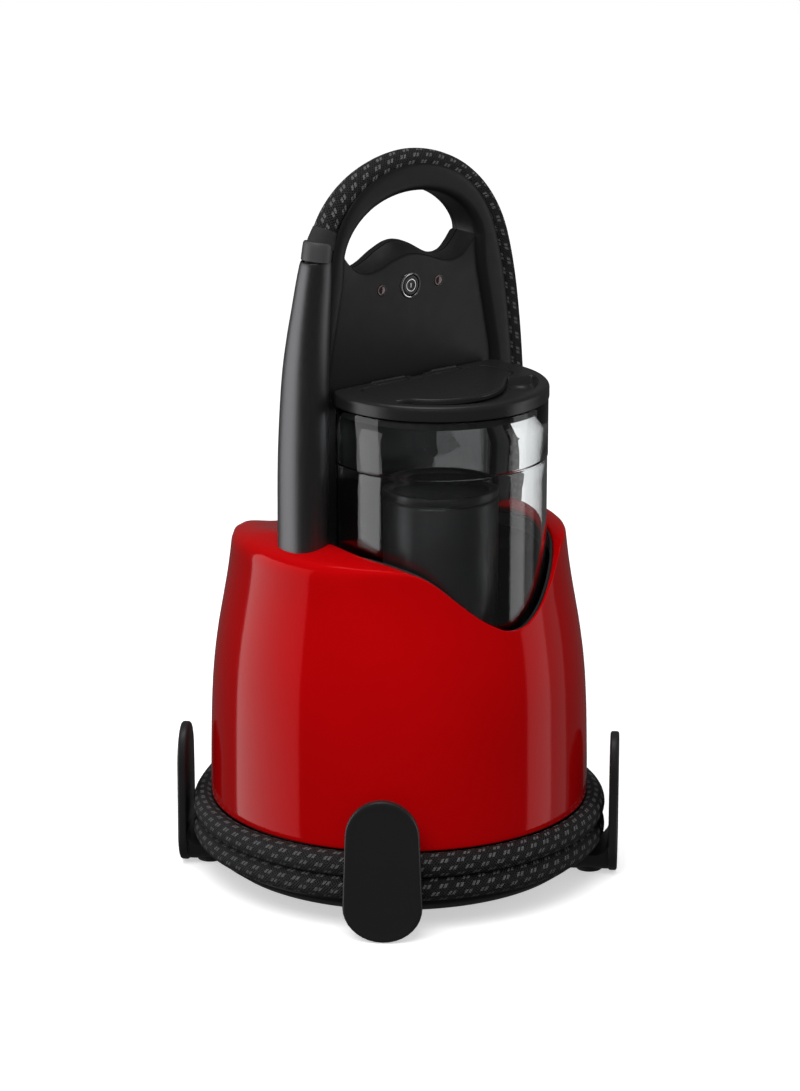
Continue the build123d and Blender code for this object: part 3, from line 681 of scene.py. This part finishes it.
def make_hook(direction):
    """Paddle with rounded rim and a slightly hollow face, on an arm with a soft fillet."""
    a = math.radians(direction)
    out, side = Vector((math.cos(a), math.sin(a), 0)), Vector((-math.sin(a), math.cos(a), 0))

    def place(reach, across, z):
        return out * reach + side * across + Vector((0, 0, z))

    rim = []
    for reach, inset in ((120.0, 1.2), (120.2, 0.6), (120.7, 0.15), (121.4, 0.0), (123.5, 0.0),
                         (124.2, 0.15), (124.75, 0.6), (124.95, 1.3), (124.95, 2.2), (124.75, 3.4),
                         (124.65, 6.0)):
        outline = stadium(20.0 - inset, 0.3 + inset, 81.6 - inset)
        rim.append([place(reach, x * (1.0 + 0.09 * smooth((75.0 - z) / 60.0)), z) for x, z in outline])
    arm, half, lift = [], 19.2, 0.8
    for reach, rise in ((60.2, 10.0), (97.4, 10.0), (97.6, 14.0), (111.0, 14.0), (114.5, 14.3),
                        (117.0, 15.4), (118.8, 17.6), (119.7, 20.4), (120.4, 23.5)):
        edge_x = math.sqrt(max(0.0, half ** 2 - (half - min(rise - lift, half)) ** 2))
        top = [(edge_x * t, rise) for t in (0.94, 0.5, 0.0, -0.5, -0.94)]
        low = []
        for k in range(15):
            x = edge_x * lerp(-1.0, 1.0, k / 14)
            low.append((x, lift + half - math.sqrt(max(0.0, half ** 2 - x * x))))
        arm.append([place(reach, x, z) for x, z in low + top])
    return joined(skin(rim, cap_low=True, cap_high=True), skin(arm, cap_low=True, cap_high=True))


for hook_name, hook_direction in (("front_left", 225), ("front_right", 315), ("rear_right", 45),
                                  ("rear_left", 135)):
    piece(f"hook_{hook_name}_paddle", *make_hook(hook_direction), HOOK, "unit", f"hook_{hook_name}",
          angle=34)


# -------- base
base_outline = [
    (99.0, 10.6), (99.6, 10.1), (100.6, 10.3), (107.6, 15.4), (108.7, 16.6), (109.0, 17.6), (108.7, 18.7),
    (107.9, 19.2), (104.6, 19.2), (103.5, 19.8), (103.2, 21.2), (103.2, 45.2), (102.6, 46.3), (101.6, 46.6),
    (92.0, 46.6), (91.5, 46.1), (91.5, 44.4), (92.0, 44.0), (99.4, 44.0), (100.6, 42.6), (100.6, 14.0),
    (99.6, 13.0), (4.0, 13.0), (4.0, 10.6), (22.0, 10.6), (22.4, 10.2), (24.6, 10.2), (25.0, 10.6),
    (57.0, 10.6), (57.4, 10.2), (59.6, 10.2), (60.0, 10.6),
]
piece("base_tray", *lathe(base_outline, count=160, closed_outline=True), SATIN, "unit", "base_plate",
      angle=40)


# -------- riser
SLEEVE = [
    (196.0, -73.6, 12.0, 15.0), (222.0, -73.6, 12.0, 15.0), (250.0, -73.3, 12.0, 14.8),
    (276.0, -72.4, 11.8, 14.2), (300.0, -71.0, 11.4, 13.2), (318.0, -69.2, 10.7, 11.8),
    (334.0, -67.0, 9.9, 10.4), (350.0, -64.6, 9.1, 9.3), (360.6, -63.1, 8.2, 8.3),
]


def make_sleeve():
    loops = []
    for k in range(60):
        z = lerp(198.0, 360.6, k / 59)
        x, half_x, half_y = (curve_value([(row[0], row[i]) for row in SLEEVE], z) for i in (1, 2, 3))
        step = 0.5
        slope = (curve_value([(row[0], row[1]) for row in SLEEVE], z + step) - x) / step
        loop = []
        for a in around(64):
            power = 0.88
            cx = math.copysign(abs(math.cos(a)) ** power, math.cos(a))
            cy = math.copysign(abs(math.sin(a)) ** power, math.sin(a))
            loop.append((x + half_x * cx, HOSE_Y + half_y * cy, z - slope * half_x * cx))
        loops.append(loop)
    top = loops[-1]
    middle = Vector((sum(p[0] for p in top) / 64, HOSE_Y, sum(p[2] for p in top) / 64))
    for shrink, lift in ((0.97, 0.35), (0.93, 0.45), (0.84, 0.3), (0.82, -1.0)):
        loops.append([tuple(middle.lerp(Vector(p), shrink) + Vector((0, 0, lift))) for p in top])
    return skin(loops, cap_low=True, cap_high=True)


piece("riser_tube", *make_sleeve(), RISER, "unit", "riser_sleeve", angle=40)
collar_start, collar_aim = Vector(route[0]), Vector(route[1])
collar_way = (collar_aim - collar_start).normalized()
collar_outline = [
    (17.6, 7.2), (17.6, 8.0), (17.9, 8.35), (20.0, 8.4), (24.5, 8.35), (26.9, 8.25), (27.7, 8.0),
    (28.1, 7.6), (28.1, 7.1), (27.0, 6.9),
]
# rubber strain relief that tapers onto the hose above the collar
BOOT = [(24.0, 7.95), (28.0, 7.95), (31.0, 7.55), (36.5, 6.95)]
boot_line, reach = [], 0.0
for here, after in zip(centre_line, centre_line[1:]):
    if BOOT[0][0] <= reach <= BOOT[-1][0]:
        boot_line.append((reach, here))
    reach += (after - here).length / MM
boot_start = boot_line[0][0]
boot_mesh = hose_mesh([place for _, place in boot_line],
                      lambda reach: curve_value(BOOT, boot_start + reach / MM), 40)
piece("hose_boot", *boot_mesh[:2], RUBBER, angle=50)
piece("hose_collar", *turned_along(collar_outline, collar_start, collar_way, 64), GREY, "unit",
      "riser_collar")


# -------- handle
OPENING = (0.0, 357.0, 48.0, 35.0)
PANEL_HALF = [
    (150.0, 59.4), (290.0, 59.4), (310.0, 56.0), (330.0, 51.9), (346.0, 48.7), (362.0, 47.5), (380.0, 46.5),
]
LEFT_LEG = [(-66.0, 343.5), (-71.2, 300.0), (-73.6, 250.0), (-74.0, 205.0), (-74.0, 168.0)]
RIGHT_LEG = [(81.0, 168.0), (81.0, 205.0), (81.0, 236.0)]


def handle_stations():
    """Hose centre, outward way and matching point on the inner boundary, from right foot to left foot."""
    outer = spline([(x, 0.0, z) for x, z in RIGHT_LEG + ARCH_RIGHT + ARCH_LEFT[:-1] + LEFT_LEG], 150)
    stations = []
    for i, here in enumerate(outer):
        way = (outer[min(i + 1, len(outer) - 1)] - outer[max(i - 1, 0)]).normalized()
        normal = Vector((way.z, 0.0, -way.x))
        cx, cz, a, b = OPENING
        angle = math.atan2(here.z - cz, here.x - cx)
        low = math.radians(7.0)
        if low < angle < math.pi - low:
            inner = Vector((cx + a * math.cos(angle), 0.0, cz + b * math.sin(angle)))
        else:
            half = curve_value(PANEL_HALF, here.z)
            inner = Vector((math.copysign(half, here.x), 0.0, here.z))
        stations.append((here, normal, inner))
    return stations


def rear_face(z):
    """The housing's back, which leans forward into the narrower arch."""
    return lerp(HANDLE_REAR, ARCH_REAR, smooth((z - 338.0) / 36.0))


def handle_ring(front):
    """Closed loops of the front or the rear shell of the handle's arch."""
    loops = []
    for centre, normal, inner in handle_stations():
        way = (centre - inner)
        way.y = 0
        way.normalize()
        lip = 5.6 - 5.0 * smooth(max(0.0, normal.z) ** 1.3)
        loop = []

        def at(base, along, offset, y):
            point = base + along * offset
            loop.append((point.x, y, point.z))

        if front:
            for offset, y in ((0.0, FRONT_SEAM), (0.0, -3.0), (0.0, -8.0), (0.3, -10.3), (1.3, -11.9),
                              (2.9, -12.8), (5.0, -13.0)):
                at(inner, way, offset, y)
            for offset, y in ((4.2, -13.0), (2.0, -12.95), (0.7, -12.6), (0.05, -12.05)):
                at(centre, normal, -(lip + offset), y)
            start = math.acos(min(1.0, lip / 7.1))
            for k in range(9):
                a = lerp(start, -math.radians(50.0), k / 8)
                at(centre, normal, -7.1 * math.cos(a), HOSE_Y - 7.1 * math.sin(a))
            at(centre, normal, -4.25, 1.4)
            at(centre, normal, -4.2, 5.2)
            at(centre, normal, -4.6, FRONT_SEAM)
        else:
            back = rear_face(0.5 * (centre.z + inner.z))
            depth = back - REAR_SEAM
            for offset, share in ((4.6, 0.0), (4.2, 0.05), (4.25, 0.5), (4.8, 0.74), (6.2, 0.92),
                                  (8.4, 0.99), (10.2, 1.0)):
                at(centre, normal, -offset, REAR_SEAM + depth * share)
            for offset, share in ((5.0, 1.0), (2.8, 0.97), (1.0, 0.86), (0.15, 0.7), (0.0, 0.5), (0.0, 0.0)):
                at(inner, way, offset, REAR_SEAM + depth * share)
        loops.append(loop)
    return skin(loops, cap_low=True, cap_high=True)


piece("handle_arch_front", *handle_ring(True), SATIN, "unit", "handle_front", angle=40)
SCREWS = ((-57.5, 215), (-57.5, 270), (-50, 330), (64, 215), (62.5, 270), (56, 330))
SCREW_HOLES = [turned_along([(0.0, 3.2), (8.0, 3.2)], (x, 14.5, z), (0, 1, 0), 32) for x, z in SCREWS]
drilled("handle_arch_rear", *handle_ring(False), SATIN, SCREW_HOLES, 40, body="unit",
        stands_for="handle_rear")

SILL_FRONT = [
    (-47.4, 362.4), (-43.5, 357.6), (-38.0, 352.6), (-30.0, 350.4), (-22.0, 351.7), (-12.0, 355.4),
    (0.0, 357.6), (12.0, 355.4), (22.0, 351.7), (30.0, 350.4), (38.0, 352.6), (43.5, 357.6), (47.4, 362.4),
]


SILL_HALF = SILL_FRONT[-1][0]


def sill_height(x, y):
    """The sill rises towards the back in the middle, like a saddle."""
    rise = 5.2 * smooth((y + 8.0) / 17.0) * math.exp(-((x - 3.0) / 23.0) ** 2)
    return curve_value(SILL_FRONT, x) + rise


def panel_sheet(front):
    """Front or rear cover between the stiles, folded over into its half of the sill."""
    columns = 61
    places = [lerp(-1, 1, i / (columns - 1)) for i in range(columns)]
    rows = []
    for z in (172.0, 200.0, 230.0, 260.0, 285.0, 300.0, 315.0, 328.0, 336.0, 342.0):
        face_y = PANEL_Y if front else rear_face(z) - 0.4
        rows.append([(curve_value(PANEL_HALF, z) * u, face_y, z) for u in places])
    if front:
        face_y, split, radius = PANEL_Y, FRONT_SEAM, 1.7
    else:
        face_y, split, radius = rear_face(357.0) - 0.4, REAR_SEAM, -4.5

    def fold(y, drop):
        rows.append([(SILL_HALF * u, y, sill_height(SILL_HALF * u, y) - drop) for u in places])

    for k in range(8):
        a = math.pi / 2 * k / 7
        fold(face_y + radius * (1 - math.cos(a)), abs(radius) * (1 - math.sin(a)))
    for t in (0.2, 0.4, 0.6, 0.8, 0.93, 0.98, 1.0):
        fold(lerp(face_y + radius, split, t), 0.4 if t == 1.0 else 0.0)
    upright = 10
    count = len(rows)
    rows += [[(x, split, z) for x, _, z in rows[k]] for k in range(upright - 1, -1, -1)]
    points, faces = skin(rows, closed=False, ring=True)
    for i in (0, columns - 1):
        for k in range(upright - 1):
            back = count + upright - 1 - k
            faces.append(tuple(j * columns + i for j in (k, k + 1, back - 1, back)))
        faces.append(tuple(j * columns + i for j in range(upright - 1, count + 1)))
    return points, faces


BUTTON_Z, LENS_X = 339.8, 20.6
HOLES = [turned_along([(-2.0, radius), (3.2, radius)], (x, PANEL_Y, BUTTON_Z), (0, 1, 0), 64)
         for radius, x in ((7.4, 0.0), (3.35, -LENS_X), (3.35, LENS_X))]
drilled("front_cover", *panel_sheet(True), PANEL, HOLES, stands_for="control_panel",
        slot="black_gloss")
drilled("rear_cover", *panel_sheet(False), SATIN, SCREW_HOLES)


# bright ring, cap with a shallow dish, plain ring mark and the two lamps
button_middle, inwards = (0, PANEL_Y, BUTTON_Z), (0, 1, 0)
ring_outline = [(3.0, 5.85), (3.0, 7.3), (0.3, 7.35), (-0.15, 7.3), (-0.6, 7.0), (-0.8, 6.6),
                (-0.7, 6.2), (-0.3, 5.95), (0.4, 5.85)]
cap_outline = [(1.3, 5.6), (0.1, 5.6), (-0.25, 5.45), (-0.42, 5.0), (-0.4, 4.4), (-0.3, 3.4),
               (-0.26, 2.0), (-0.25, 0.2)]
mark_outline = [(0.0, 2.85), (-0.45, 2.9), (-0.5, 3.0), (-0.5, 3.5), (-0.45, 3.6), (0.0, 3.65)]
mark_bar = box_solid((-0.45, PANEL_Y - 0.5, BUTTON_Z - 1.3), (0.45, PANEL_Y, BUTTON_Z + 1.3))
lens_outline = [(3.0, 3.25), (0.0, 3.25), (-0.2, 3.1), (-0.3, 2.8), (-0.2, 2.5), (-0.15, 2.2),
                (-0.28, 1.6), (-0.36, 0.8), (-0.38, 0.15)]
piece("button_bezel", *skin(circles(ring_outline, button_middle, inwards, 64), ring=True), CHROME,
      "unit", "button_ring")
piece("button_cap", *turned_along(cap_outline[::-1], button_middle, inwards, 64), LID,
      "power_button", "power_button", "black_gloss")
piece("button_mark",
      *joined(skin(circles(mark_outline, button_middle, inwards, 48), ring=True), mark_bar), CHROME,
      "power_button")
for name, x in (("steam", -LENS_X), ("water", LENS_X)):
    piece(f"{name}_lamp", *turned_along(lens_outline[::-1], (x, PANEL_Y, BUTTON_Z), inwards, 40),
          LENS, "unit", f"{name}_lens", "lens_red")


# -------- tank
def make_tank():
    outer = [(114.6, 3.0), (114.1, 2.0), (115.0, 0.7), (116.6, 0.1), (119.0, 0.0), (160.0, 0.0),
             (205.0, 0.0), (240.0, 0.0), (248.9, 0.0), (249.4, -0.12), (249.8, -0.4), (250.5, -0.4),
             (268.0, -0.4), (280.6, -0.4), (281.3, 0.0), (281.5, 0.7)]
    inner = [(281.5, 1.3), (281.2, 1.9), (280.6, 2.0), (268.0, 2.0), (250.9, 2.0), (250.2, 2.1),
             (249.7, 2.4), (247.5, 2.4), (205.0, 2.4), (160.0, 2.4), (121.5, 2.4), (118.9, 2.9),
             (117.2, 4.3), (116.6, 6.4)]
    loop = tank_loop(TANK_R, TANK_BACK)
    return skin([inset_loop(loop, d, z) for z, d in outer + inner], cap_low=True, cap_high=True)


piece("tank_clear", *make_tank(), CLEAR, "tank", "tank_shell", angle=40)
foot_loops = [[(x, y, z) for x, y in tank_loop(radius, back)] for radius, back, z in
              ((53.0, -22.0, 109.5), (53.0, -22.0, TANK_FLOOR), (50.6, -24.4, TANK_FLOOR),
               (50.6, -24.4, 109.5), (51.0, -24.0, 109.1), (52.6, -22.4, 109.1))]
piece("tank_foot", *skin(foot_loops, ring=True), CLEAR, "tank", angle=40)
neck_outline = [
    (3.0, 104.6), (3.3, 104.2), (5.9, 104.2), (6.2, 104.6), (6.2, 119.6), (5.8, 120.0), (2.0, 120.0),
    (1.6, 119.6), (1.6, 118.4), (4.6, 118.0), (4.6, 107.2), (3.0, 107.0),
]
piece("tank_neck", *lathe(neck_outline, (0.0, TANK_Y), 48, closed_outline=True), CLEAR, "tank",
      angle=40)


def make_liner(outer, inner, top_drop, bottom_drop, bottom=None):
    """Ring inside the well that follows the rim's height; bottom gives a level lower edge instead."""
    levels = ((outer, bottom_drop), (outer, top_drop + 0.4), (outer - 0.3, top_drop),
              (inner + 0.3, top_drop), (inner, top_drop + 0.4), (inner, bottom_drop))
    loops = []
    for radius, drop in levels:
        loop = []
        for (x, y), (rim_x, rim_y) in zip(tank_loop(radius, -9.0 - (outer - radius)),
                                          tank_loop(RIM_R, -7.0)):
            rim = min(top_height(rim_x, rim_y), 204.0)
            rim = lerp(rim, 184.0, smooth((y + 22.0) / 8.0) * smooth((60.0 - abs(x)) / 8.0))
            loop.append((x, y, bottom if bottom is not None and drop == bottom_drop else rim - drop))
        loops.append(loop)
    return skin(loops, ring=True)


piece("well_lip", *make_liner(64.1, 62.5, 0.7, 1.9), LINER)
# the pale band is a painted reflection of the studio on the well's inner wall, seen through the tank
piece("well_band_painted_reflection", *make_liner(64.1, 62.6, 2.0, 9.0), STUDIO_REFLECTION_BAND, slot="grey_liner")
piece("well_wall", *make_liner(64.1, 62.9, 9.1, 20.0, WELL_FLOOR), LINER, "unit", "well_liner")


def make_well_floor():
    """Plate at the foot of the well with a round hole for the outlet."""
    rim = tank_loop(62.8, -10.3)
    hole = []
    for x, y in rim:
        share = 9.2 / math.hypot(x, y - TANK_Y)
        hole.append((x * share, TANK_Y + (y - TANK_Y) * share))
    levels = ((rim, 106.6), (rim, WELL_FLOOR), (hole, WELL_FLOOR), (hole, 106.6))
    return skin([[(x, y, z) for x, y in loop] for loop, z in levels], ring=True)


piece("well_floor", *make_well_floor(), LINER)


# -------- lid and flap
LID_MIDDLE = (0.0, -38.0)
LID_COUNT = 288
FLAP_EDGE = [
    (0.0, -18.4), (-30.0, -18.4), (-45.6, -18.5), (-46.4, -30.0), (-46.4, -44.0), (-46.0, -53.0), (-37.0,
                                                                                                   -53.5),
    (-30.5, -63.5), (-17.5, -70.5), (-8.0, -72.0), (2.5, -72.0), (15.5, -67.5), (26.5, -58.5), (34.0, -51.0),
    (39.0, -48.0), (45.8, -44.0), (46.4, -34.0), (45.6, -18.5), (30.0, -18.4), (0.0, -18.4),
]


def reach_table(loop):
    """Distance from the lid's middle to a closed loop at evenly spaced angles."""
    cx, cy = LID_MIDDLE
    result = []
    for a in around(LID_COUNT):
        dx, dy = math.cos(a), math.sin(a)
        best = 0.0
        for (x0, y0), (x1, y1) in zip(loop, loop[1:] + loop[:1]):
            ex, ey = x1 - x0, y1 - y0
            cross = dx * ey - dy * ex
            if abs(cross) < 1e-9:
                continue
            t = ((x0 - cx) * ey - (y0 - cy) * ex) / cross
            u = ((x0 - cx) * dy - (y0 - cy) * dx) / cross
            if t > 0 and -1e-6 <= u <= 1 + 1e-6:
                best = max(best, t)
        result.append(best)
    return result


def lid_loop(reaches, z, inset=0.0):
    """A loop at the given reaches; z is a height or a function of x and y."""
    cx, cy = LID_MIDDLE
    loop = []
    for a, reach in zip(around(LID_COUNT), reaches):
        x, y = cx + (reach - inset) * math.cos(a), cy + (reach - inset) * math.sin(a)
        loop.append((x, y, z(x, y) if callable(z) else z))
    return loop


BARRELS = ((-30.0, -8.0), (12.0, 30.0))
PIVOT_Y, PIVOT_Z = -15.6, 288.0


def window(value, low, high, soft):
    return smooth((value - low) / soft) * smooth((high - value) / soft)


flap_curve = spline([(x, y, 0.0) for x, y in FLAP_EDGE], 260)
FLAP_REACH = reach_table([(p.x, p.y) for p in flap_curve[:-1]])


def lid_top(x, y):
    """Upper face of the lid: scoop with a finger bowl, slots and ribs for the hinge, and a notch."""
    bowl = 1.4 * smooth((7.0 - math.hypot(x - 35.0, y + 60.5)) / 2.4)
    turn = math.degrees(math.atan2(y - LID_MIDDLE[1], x - LID_MIDDLE[0])) % 360.0
    rim_side = 1.0 - smooth((math.hypot(x, y - TANK_Y) - 52.6) / 3.0)
    scoop = (4.4 * window(turn, 196.0, 341.0, 3.6) + bowl) * rim_side if turn > 190.0 else 0.0
    along = max(window(x, low - 0.5, high + 0.5, 0.4) for low, high in BARRELS)
    slots = 4.4 * along * window(y, -19.0, -13.5, 0.3)
    rib = 0.8 * along * window(y, -13.6, -12.2, 0.3)
    notch = 3.0 * window(x, -3.4, 7.0, 0.5) * window(y, -15.2, -10.0, 0.4)
    return LID_TOP + rib - max(scoop, slots, notch)


def make_lid():
    recess = [r + 0.25 for r in FLAP_REACH]
    outer = reach_table(tank_loop(LID_R, LID_BACK, 5.0))
    skirt = reach_table(tank_loop(56.4, -17.4, 4.0))
    hole = [min(r - 4.0, s - 1.2) for r, s in zip(recess, skirt)]
    soft = []
    for a, reach in zip(around(LID_COUNT), outer):
        soft.append(0.18 + 0.82 * smooth((-13.5 - LID_MIDDLE[1] - reach * math.sin(a)) / 8.0))
    edge = 2.8
    loops = [lid_loop(hole, 275.8), lid_loop(skirt, 275.8), lid_loop(skirt, 281.6),
             lid_loop(outer, 281.7, 1.2), lid_loop(outer, 281.8, 0.5), lid_loop(outer, 282.3, 0.05),
             lid_loop(outer, 283.2, 0.0), lid_loop(outer, 286.6, 0.05)]
    for k in range(7):
        a = math.pi / 2 * k / 6
        loop = []
        reaches = [r - edge * w * (1 - math.cos(a)) for r, w in zip(outer, soft)]
        for (x, y, _), share in zip(lid_loop(reaches, 0.0), soft):
            loop.append((x, y, min(LID_TOP - edge * share * (1 - math.sin(a)), lid_top(x, y))))
        loops.append(loop)
    steps = 46
    for k in range(1, steps + 1):
        reaches = [lerp(o - edge * w, r + 0.9, k / steps) for o, r, w in zip(outer, recess, soft)]
        loops.append(lid_loop(reaches, lid_top))
    for inset, drop in ((-0.45, 0.08), (-0.15, 0.35), (0.0, 0.9), (0.0, 3.6), (0.3, 3.8)):
        def wall_top(x, y, d=drop):
            return min(LID_TOP - d, lid_top(x, y) - 0.05 * d)

        loops.append(lid_loop(recess, wall_top, inset))
    loops.append(lid_loop(hole, LID_TOP - 3.9))
    return skin(loops, ring=True)


def make_flap():
    edge = FLAP_REACH
    low, high = LID_TOP - 3.3, LID_TOP
    loops = [lid_loop([r * t for r in edge], low, 0.4) for t in (0.25, 0.6, 1.0)]
    loops.append(lid_loop(edge, low + 0.4))
    for k in range(6):
        a = math.pi / 2 * k / 5
        loops.append(lid_loop(edge, high - 1.6 * (1 - math.sin(a)), 1.6 * (1 - math.cos(a))))
    loops += [lid_loop([r * t for r in edge], high) for t in (0.9, 0.6, 0.25)]
    solids = [skin(loops, cap_low=True, cap_high=True)]
    for x_low, x_high in BARRELS:
        length = x_high - x_low
        barrel = [(0.0, 1.0), (0.0, 1.7), (0.3, 1.9), (length - 0.3, 1.9), (length, 1.7), (length, 1.0)]
        solids.append(turned_along(barrel, (x_low, PIVOT_Y, PIVOT_Z), (1, 0, 0), 28))
        solids.append(box_solid((x_low + 0.2, PIVOT_Y - 3.4, PIVOT_Z - 1.1),
                                (x_high - 0.2, PIVOT_Y - 1.0, PIVOT_Z + 0.9)))
    return joined(*solids)


piece("lid_cover", *make_lid(), LID, "tank", "tank_lid", "black_gloss", 36)
piece("lid_flap", *make_flap(), LID, "fill_flap", "fill_flap", "black_gloss", 36)


# -------- filter
cartridge_outline = [
    (1.0, 116.8), (27.0, 116.8), (30.6, 116.8), (31.4, 117.6), (31.5, 119.0), (31.5, 230.0), (31.1, 230.7),
    (30.4, 231.0), (30.2, 231.4), (1.0, 231.4),
]
piece("filter_body", *lathe(cartridge_outline, FILTER_AT, 96), FILTER, "filter", "filter_cartridge")
cap_outline = [
    (30.0, 231.5), (30.4, 231.5), (31.4, 231.9), (31.6, 232.6), (31.6, 235.2), (31.3, 236.1), (30.6, 236.5),
    (29.0, 236.5), (27.6, 236.2), (26.6, 235.2), (26.2, 234.0), (25.4, 233.6), (1.0, 233.6), (0.6, 231.6),
]
piece("filter_lid", *lathe(cap_outline, FILTER_AT, 96), FILTER, "filter", "filter_cap")


for name, node_object in frame["nodes"].items():
    look_for = next(s["material_slot"] for s in frame["record"]["subparts"] if s["node"] == name)
    node_object.data.materials.clear()
    node_object.data.materials.append(SLOT_LOOK[look_for])
